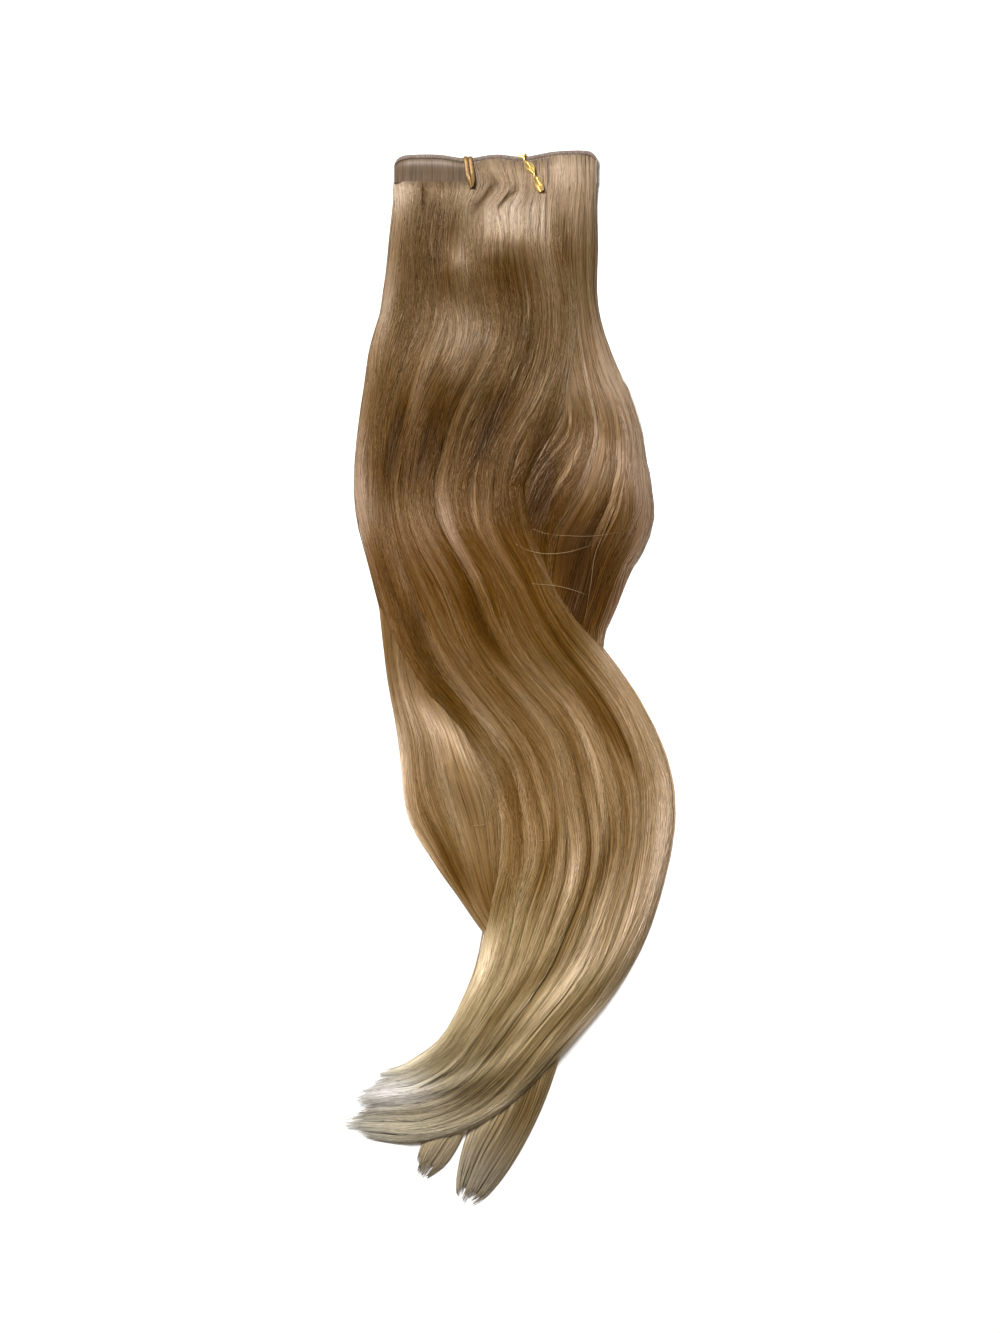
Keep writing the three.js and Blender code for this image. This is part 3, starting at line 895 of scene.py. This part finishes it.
def floor_material():
    """A pale table, faintly mottled."""
    n = Nodes("pale_table", roughness=0.9)
    mottle = n.noise(scale=3, detail=3, vector=n.object_place())
    n.colour(n.ramp(mottle, [(0.3, (0.86, 0.86, 0.86)), (0.7, (0.9, 0.9, 0.9))]))
    return n.material


# Hair


def streak_and_painted_light_tone(points):
    """The change of tone at points over the locks: the hair's own streaks, painted highlights and painted
    shade from the spots, and painted shade in the slits.
    """
    x, y = points[..., 0], points[..., 1]
    return effect(STREAKS_AND_PAINTED_LIGHT, x, y) + SLIT_SHADE_TONE * parting(x, y)


def white_and_shade_grey(points):
    """The share of white in the hair at points over the locks: a whiter tuft, and painted shade's grey
    under the tail.
    """
    return effect(WHITE_AND_SHADE_GREY_SPOTS, points[..., 0], points[..., 1])


def painted_rim_light(across):
    """The change of tone towards a lock's thin edges, painted lighter: painted light."""
    return RIM_LIGHT_TONE * np.abs(np.clip(across, -1, 1)) ** RIM_POWER


def strand_arrays(lock, clumps, rng, plan):
    """Paths, radii and values of strands that lie in small wisps over a lock's clumps."""
    count = plan["strands"]
    wisps = Wisps(rng, clumps, plan["wisps"], plan["tip_spread"])
    wisp = rng.integers(0, wisps.count, count)
    clump = wisps.clump[wisp]
    aside = np.clip(rng.normal(0, WISP_SPREAD, (count, 1)), -1, 1)
    loose = (rng.uniform(0, 1, (count, 1)) < LOOSE_SHARE).astype(float)

    # From its start to its end, a strand bends with its wisp and frays a little by itself
    middle = clumps.centre[clump] + clumps.half[clump] * wisps.inside[wisp]
    start = plan["start"](middle) + rng.uniform(0, plan["start_jitter"], count)
    end = plan["end"](middle) + wisps.tip[wisp] - rng.exponential(plan["tip_jitter"], count)
    share = np.linspace(0, 1, plan["steps"])
    along = start[:, None] + (end - start)[:, None] * share
    bend = np.stack([np.interp(place, WANDER_STEPS, wisps.bend[w]) for place, w in zip(along, wisp)])
    inside = np.clip(wisps.inside[wisp][:, None] + bend + WISP_WIDE * aside, -0.99, 0.99)
    across, lift, shade = clumps.lay(clump, along, inside)
    calm = np.interp(along, (0, 0.06, 0.3), (0.1, 0.5, 1))
    fray = STRAND_FRAY + LOOSE_FRAY * loose
    across += fray * calm * drift(rng, along, count, (3.1, 7.7))
    lift += WISP_THICK * np.sqrt(1 - aside**2) * calm
    lift += STRAND_LIFT * drift(rng, along, count, (5.3, 9.1)) + LOOSE_LIFT * loose * calm
    paths = lock.place(along, np.clip(across, -1.01, 1.01), lift)

    # A strand thins to its tip and lies on the table, not in it
    radii = STRAND_RADIUS * rng.uniform(0.65, 1.3, (count, 1)) * (1 - 0.3 * loose)
    radii = radii * np.interp(share, (0, 0.02, 0.93, 1), (0.7, 1, 1, 0.35))
    paths[..., 2] = np.maximum(paths[..., 2], radii)

    # Its tone is its own, its wisp's, and its clump's with painted shade at the clump's edges. To that come
    # the tone of the streaks it goes through, with their painted highlights and shade, and painted light
    # towards the lock's edges
    tone = STRAND_TONE + rng.normal(0, 0.03, (count, 1)) + LOOSE_TONE * loose
    tone = tone + wisps.tone[wisp][:, None] * np.interp(along, (0.05, 0.3, 0.85, 1), (0.3, 1, 1, 0.4))
    tone = tone + shade + 0.04 * drift(rng, along, count, (2.7, 6.1))
    tone = tone + streak_and_painted_light_tone(paths) * (1 + 0.5 * aside)
    values = {
        "along": np.interp(lock.length_share(along), (0, 1), plan["colour"]),
        "tone": np.clip(tone + painted_rim_light(across), DARKEST_TONE, 1),
        "white": white_and_shade_grey(paths),
    }
    return paths, radii, values


def hair_piece(name, lock, clumps, rng, plan, material):
    """One layer of single strands over a lock."""
    part = tubes(*strand_arrays(lock, clumps, rng, plan), rng)
    finish_piece(make_object(name, [part], material), "hair")


def core_piece(node, lock, clumps, rng, plan, under, material):
    """The ridged inner body of a lock, which stands for its CAD node. It rests on what is under it."""
    end = plan["core_end"]
    along = np.linspace(plan["core_start"], end, plan["core_steps"])[:, None]
    shrink = np.interp(along, (0, 0.8, end), (0.985, 0.97, plan["core_taper"]))
    across = -np.cos(np.linspace(0, math.pi, plan["core_columns"]))[None, :] * shrink
    along_grid = np.broadcast_to(along, across.shape)
    relief, shade = clumps.relief(along_grid, across)
    ripple = CORE_RIPPLE * rng.normal(0, 1, plan["core_columns"])[None, :] * clumps.growth(along)
    sink = np.interp(along, (0, 0.06, 0.85, end), (1.2, 0.12, 0.12, 0.9))
    top = lock.place(along_grid, across, relief + ripple - sink)

    size = catmull(lock.rows, along)[0]
    low = np.maximum(size[..., BASE], 0.1)
    top[..., 2] = np.maximum(top[..., 2], low + CORE_THIN)
    bottom = top[:, ::-CORE_SKIP].copy()
    rest = low if under is None else np.maximum(low, under.height(bottom))
    bottom[..., 2] = np.minimum(rest, bottom[..., 2] - 0.2)

    rings = np.concatenate([bottom[:, ::-1], top[:, ::-1]], axis=1)
    shade = np.concatenate([np.zeros(bottom.shape[:2]), shade[:, ::-1]], axis=1)
    half_width = size[..., WIDTH] / 2
    over = np.concatenate([across[:, ::-CORE_SKIP][:, ::-1], across[:, ::-1]], axis=1) * half_width
    # The body's tone: painted shade darker than the strands and in the grooves, the streaks with their
    # painted highlights and shade, and painted light at the edges
    tone = CORE_SHADE_TONE + shade + streak_and_painted_light_tone(rings) + painted_rim_light(over / half_width)
    values = {
        "along": np.interp(lock.length_share(along), (0, 1), plan["colour"]),
        "tone": np.clip(tone, DARKEST_TONE, 1),
        "white": white_and_shade_grey(rings),
        "over": over,
    }
    finish_piece(make_object("core_" + node, [skin(rings[None], values)], material), "hair", node)


def taut(heights):
    """The lowest line that bridges the dips between some heights."""
    steps = np.arange(len(heights))
    bridges = []
    for a in steps:
        for b in steps[a + 1 :]:
            bridges.append(np.interp(steps, (a, b), (heights[a], heights[b]), left=0, right=0))
    return np.max(bridges, axis=0)


def stray_piece(rng, surface, material):
    """The single hairs that lie across the others, just clear of what is under them."""
    share = np.linspace(0, 1, STRAY_STEPS)
    paths = []
    for points in STRAYS:
        line = catmull(np.array(points, float), share)[0]
        paths.append(np.column_stack([line, taut(surface.height(line)) + STRAY_LIFT]))
    paths = np.array(paths)
    radii = STRAY_RADIUS * np.interp(share, (0, 0.7, 1), (1, 1, 0.4))
    part = tubes(paths, np.broadcast_to(radii, paths.shape[:2]), STRAY_VALUES, rng)
    finish_piece(make_object("stray_hairs", [part], material), "hair")


# Weft


# The track's mesh, and the thread wound round it
TRACK_STEPS = 560
TRACK_SIDES = 14
TRACK_UNEVEN = 0.03
WRAP_PITCH = 1.25
WRAP_DEPTH = 0.05

# The band's mesh, its tuck under the track, and its ridge and roll as shares of its depth
BAND_COLUMNS = 420
BAND_ROWS = 16
BAND_TUCK = 1.2
RIDGE_DROP = 0.24
RIDGE_REACH = 0.13
ROLL_DROP = 0.74
ROLL_REACH = 0.22


def top_edge(x):
    """The height of the weft's top edge over the tables' zero line."""
    pulls = sum(np.exp(-(((x - tie["x"]) / TIE_REACH) ** 2)) for tie in TIES.values())
    share = 2 * (x - WEFT_LEFT) / (WEFT_RIGHT - WEFT_LEFT) - 1
    corners = CORNER_DROP * np.abs(share) ** CORNER_POWER
    return EDGE_RISE + RIGHT_RISE * share - TIE_PULL * pulls - corners


def track_piece(rng, material):
    """The rolled seam along the top edge, with the thread's wraps as ridges round it."""
    share = np.linspace(0, 1, TRACK_STEPS)
    x = WEFT_LEFT + (WEFT_RIGHT - WEFT_LEFT) * share
    angle = np.linspace(0, 2 * math.pi, TRACK_SIDES, endpoint=False)
    wrap = 1 + WRAP_DEPTH * np.cos(2 * math.pi * x / WRAP_PITCH)
    wrap = wrap + TRACK_UNEVEN * drift(rng, share[None, :], 1, (5, 11, 23))[0]
    ends = np.sqrt(np.clip(1 - np.abs(2 * share - 1) ** 60, 0.02, 1))
    size = (wrap * ends)[:, None]
    y = (top_edge(x) - TRACK_HEIGHT / 2)[:, None] + TRACK_HEIGHT / 2 * size * np.cos(angle)
    z = BAND_BASE + TRACK_THICK / 2 * (1 + size * np.sin(angle))
    rings = np.stack([np.broadcast_to(x[:, None], y.shape), y, z], axis=-1)
    part = skin(rings[None], {"tone": 0.5})
    finish_piece(make_object("weft_track_seam", [part], material), "track", "weft_track")


def band_piece(rng, material):
    """The sewn weft below the track: a ridge over a darker roll, ribbed by the hair in it; the ridge's
    paleness is a painted highlight.
    """
    share = np.linspace(0, 1, BAND_COLUMNS)[:, None]
    x = WEFT_LEFT + (WEFT_RIGHT - WEFT_LEFT) * share
    drop = np.linspace(0, 1, BAND_ROWS)
    upper = top_edge(x) - TRACK_HEIGHT + BAND_TUCK
    y = upper + (BAND_BOTTOM - upper) * drop
    uneven = 1 + 0.4 * drift(rng, share.T, 1, (3, 7)).T
    ridge = np.exp(-(((drop - RIDGE_DROP) / RIDGE_REACH) ** 2)) * uneven
    ridge = ridge * np.interp(x, (WEFT_LEFT + 1, WEFT_LEFT + 7), (0.2, 1))
    roll = np.exp(-(((drop - ROLL_DROP) / ROLL_REACH) ** 2))
    rib = rng.normal(0, 0.05, (BAND_COLUMNS, 1))
    ends = np.clip(1 - np.abs(2 * drop - 1) ** 12, 0, 1) ** 0.5

    # The band is bare left of the left tie, plain under the hair, and thin at its right end
    tie_x = TIES["tie_left"]["x"]
    bare = np.interp(x, (tie_x, tie_x + 3), (1, 0))
    thin = np.interp(x, (42, 47), (0, 1))
    height = (0.98 - 0.18 * bare - 0.45 * thin) * BAND_THICK
    relief = (0.03 + 0.32 * bare) * BAND_THICK * np.maximum(ridge, 0.8 * roll)
    height = height + (relief + rib) * ends
    front = np.stack([np.broadcast_to(x, y.shape), y, BAND_BASE + height], axis=-1)
    back = front[:, ::-1].copy()
    back[..., 2] = BAND_BASE
    # Painted light: the bare band's ridge is painted pale and its lower edge lighter. Under the hair the
    # band is painted light so the gaps between the strands show less shade. The ribs vary at random
    painted_hem_light = np.interp(drop, (0.7, 1), (0, 0.3))
    tone = np.clip(0.12 + 0.88 * (1 - bare) + (0.9 * ridge + painted_hem_light) * bare + 0.6 * rib, 0, 1)
    values = {"tone": np.concatenate([tone, np.full(tone.shape, 0.3)], axis=1)}
    part = skin(np.concatenate([front, back], axis=1)[None], values)
    finish_piece(make_object("weft_band_stack", [part], material), "band", "weft_band")


# Ties


TIE_WIRE_WIDTH = 2.2
TIE_WIRE_THICK = 0.8
TIE_WIRE_APART = 1.15
TIE_STEPS = 150
TIE_SIDES = 12


def tie_route(tie):
    """Points along a tie: up behind the band, round the track, and outwards over the hair in front."""
    x = tie["x"]
    reach = TIE_WIRE_THICK / 2
    under = BAND_BASE - reach
    over = BAND_BASE + TRACK_THICK + reach
    edge = float(top_edge(np.array(x))) + reach
    slant = tie["end"][0] - x
    return np.array(
        [
            (x, edge - 8, under),
            (x, edge - 0.8, under),
            (x, edge - 0.1, under + 1.6),
            (x, edge - 0.1, over - 1.6),
            (x, edge - 0.8, over),
            (x + 0.35 * slant, edge - 6, over + 1),
            (x + 0.7 * slant, edge - 11, over + 2),
            (*tie["end"], over + 3),
        ]
    )


def tie_piece(name, material):
    """A gold tie: two flat foil wires side by side over the track, twisted round each other in front."""
    tie = TIES[name]
    share = np.linspace(0, 1, TIE_STEPS)
    path, ahead = catmull(tie_route(tie), share)
    ahead /= np.linalg.norm(ahead, axis=1, keepdims=True)
    wide = (1, 0, 0) - ahead * ahead[:, :1]
    wide /= np.linalg.norm(wide, axis=1, keepdims=True)
    thin = np.cross(ahead, wide)
    twisted = np.clip((share - tie["twist_from"]) / (1 - tie["twist_from"]), 0, 1)
    twist = math.pi * tie["half_turns"] * twisted
    turned_wide = np.cos(twist)[:, None] * wide + np.sin(twist)[:, None] * thin
    turned_thin = np.cos(twist)[:, None] * thin - np.sin(twist)[:, None] * wide
    angle = np.linspace(0, 2 * math.pi, TIE_SIDES, endpoint=False)
    flat = np.sign(np.cos(angle)) * np.abs(np.cos(angle)) ** 0.6 * TIE_WIRE_WIDTH / 2
    deep = np.sign(np.sin(angle)) * np.abs(np.sin(angle)) ** 0.8 * TIE_WIRE_THICK / 2
    section = flat[:, None] * turned_wide[:, None] + deep[:, None] * turned_thin[:, None]
    parts = []
    for side in (-1, 1):
        wire = path + side * TIE_WIRE_APART * turned_wide
        parts.append(skin((wire[:, None] + section)[None], {}))
    finish_piece(make_object(name + "_foil", parts, material), "gold", name)


# Stage


def make_floor():
    """A pale table, just under the hair."""
    bpy.ops.mesh.primitive_plane_add(size=8, location=(0, 0, -0.0002))
    floor = bpy.context.object
    floor.name = "floor"
    floor.data.materials.append(floor_material())


def area_light(name, place, size, power):
    """A round lamp that shines at the origin."""
    data = bpy.data.lights.new(name, "AREA")
    data.shape = "DISK"
    data.size = size
    data.energy = power
    lamp = bpy.data.objects.new(name, data)
    lamp.location = place
    lamp.rotation_euler = (-Vector(place)).to_track_quat("-Z", "Y").to_euler()
    bpy.context.collection.objects.link(lamp)


def make_lights():
    """A bright lamp beyond the weft, so the waves shine on their root side, a weak fill and a warm room."""
    area_light("key", place=(-0.45, 0.68, 1.4), size=0.45, power=42)
    area_light("fill", place=(0.6, -0.7, 1.2), size=1.2, power=3)
    world = bpy.data.worlds.new("studio")
    world.use_nodes = True
    room = world.node_tree.nodes["Background"].inputs
    room["Color"].default_value = (1, 0.86, 0.7, 1)
    room["Strength"].default_value = 0.16
    bpy.context.scene.world = world
    bpy.context.scene.view_settings.view_transform = "Standard"


def make_camera():
    """Straight above, with the photograph's frame at its scale on the middle of the hair's height."""
    height = 1.7
    focus = 0.01
    data = bpy.data.cameras.new("camera")
    data.sensor_width = 36
    data.lens = data.sensor_width * (height - focus) / (IMAGE_HEIGHT_PX * MM_PER_PX * MM)
    camera = bpy.data.objects.new("camera", data)
    x = (IMAGE_WIDTH_PX / 2 - WEFT_MIDDLE_PX[0]) * MM_PER_PX * MM
    y = (WEFT_MIDDLE_PX[1] - IMAGE_HEIGHT_PX / 2) * MM_PER_PX * MM
    camera.location = (ORIGIN[0] + x, ORIGIN[1] + y, height)
    bpy.context.collection.objects.link(camera)
    bpy.context.scene.camera = camera


# Assembly


def make_main(rng, under, strand, core):
    """The main lock, over the other two. Left of the left tie it leaves the band bare."""
    lock = Lock(rng, LOCK_MAIN, sway=1.2)
    gather, stand = (1.7, 1.15, 1, 0.95), (0.08, 0.5, 1, 0.7, 0.3)
    clumps = Clumps(rng, count=16, depth=1.4, lift=0.8, gather=gather, stand=stand)
    left_of_tie = 2 * (TIES["tie_left"]["x"] - LOCK_MAIN[0][X]) / LOCK_MAIN[0][WIDTH]

    def start(across):
        return np.where(across < left_of_tie, lock.row(0.9), root_start(lock, across))

    def end(across):
        return 1 - lock.row(1) * (1 - np.interp(across, TIP_ACROSS, TIP_REACH))

    plan = {
        "strands": 460,
        "steps": 58,
        "wisps": 75,
        "start": start,
        "end": end,
        "start_jitter": lock.row(0.08),
        "tip_spread": 0.015,
        "tip_jitter": 0.01,
        "colour": (0, 1),
        "core_columns": 300,
        "core_steps": 150,
        "core_start": lock.row(0.93),
        "core_end": 0.95,
        "core_taper": 0.6,
    }
    core_piece("lock_main", lock, clumps, rng, plan, under, core)
    for layer in ("a", "b", "c"):
        hair_piece("strands_main_" + layer, lock, clumps, rng, plan, strand)
    return lock


# What the two locks under the main one share
UNDER_PLAN = {
    "tip_jitter": 0.004,
    "core_columns": 120,
    "core_steps": 120,
    "core_end": 0.97,
    "core_taper": 0.7,
}


def make_right(rng, lock, strand, core):
    """The right lock, with strands where it shows: above the main lock's swing, and at its tips."""
    gather, stand = (1.7, 1.1, 1, 1.2), (0.03, 0.12, 1, 0.3, 0.1)
    clumps = Clumps(rng, count=10, depth=1.1, lift=0.6, gather=gather, stand=stand)
    shared = {
        **UNDER_PLAN,
        "start_jitter": lock.row(0.08),
        "colour": (0, 0.9),
        "core_start": lock.row(0.93),
    }
    upper = dict(shared, strands=420, steps=40, wisps=45, tip_spread=0)
    upper["start"] = lambda across: root_start(lock, across)
    upper["end"] = lambda across: lock.row(16)
    lower = dict(shared, strands=260, steps=26, wisps=30, tip_spread=0.03)
    lower["start"] = lambda across: lock.row(18)
    lower["end"] = lambda across: 1
    core_piece("lock_right", lock, clumps, rng, upper, None, core)
    hair_piece("strands_right_upper", lock, clumps, rng, upper, strand)
    hair_piece("strands_right_lower", lock, clumps, rng, lower, strand)


def make_left(rng, lock, strand, core):
    """The left lock, with strands from where it comes out from under the main lock."""
    gather, stand = (1.15, 1.15, 1.1, 1.2), (0.1, 0.4, 0.8, 0.3, 0.1)
    clumps = Clumps(rng, count=7, depth=0.6, lift=0.25, gather=gather, stand=stand)
    plan = {
        **UNDER_PLAN,
        "strands": 400,
        "steps": 44,
        "wisps": 40,
        "start": lambda across: lock.row(6),
        "end": lambda across: 1,
        "start_jitter": 0,
        "tip_spread": 0.03,
        "colour": (0.14, 0.88),
        "core_start": 0,
    }
    core_piece("lock_left", lock, clumps, rng, plan, None, core)
    hair_piece("strands_left", lock, clumps, rng, plan, strand)


def make_weft(rng):
    """The track, the band and the ties, and the paint of the clips."""
    track_piece(rng, track_material())
    band_piece(rng, band_material())
    tie_piece("tie_left", shaded_gold_material())
    tie_piece("tie_right", lit_gold_material())
    clip = clip_material()
    for name in ("clip_left", "clip_right"):
        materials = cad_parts[name].data.materials
        materials.clear()
        materials.append(clip)


def main():
    """All the pieces, on their table, with light and camera."""
    rng = np.random.default_rng(11)
    strand = strand_material()
    core = core_material()
    right = Lock(rng, LOCK_RIGHT, sway=0.8)
    left = Lock(rng, LOCK_LEFT, sway=0.8)
    middle = make_main(rng, HeightMap([right, left]), strand, core)
    make_right(rng, right, strand, core)
    make_left(rng, left, strand, core)
    stray_piece(rng, HeightMap([middle, right, left]), strand)
    make_weft(rng)
    make_floor()
    make_lights()
    make_camera()


main()
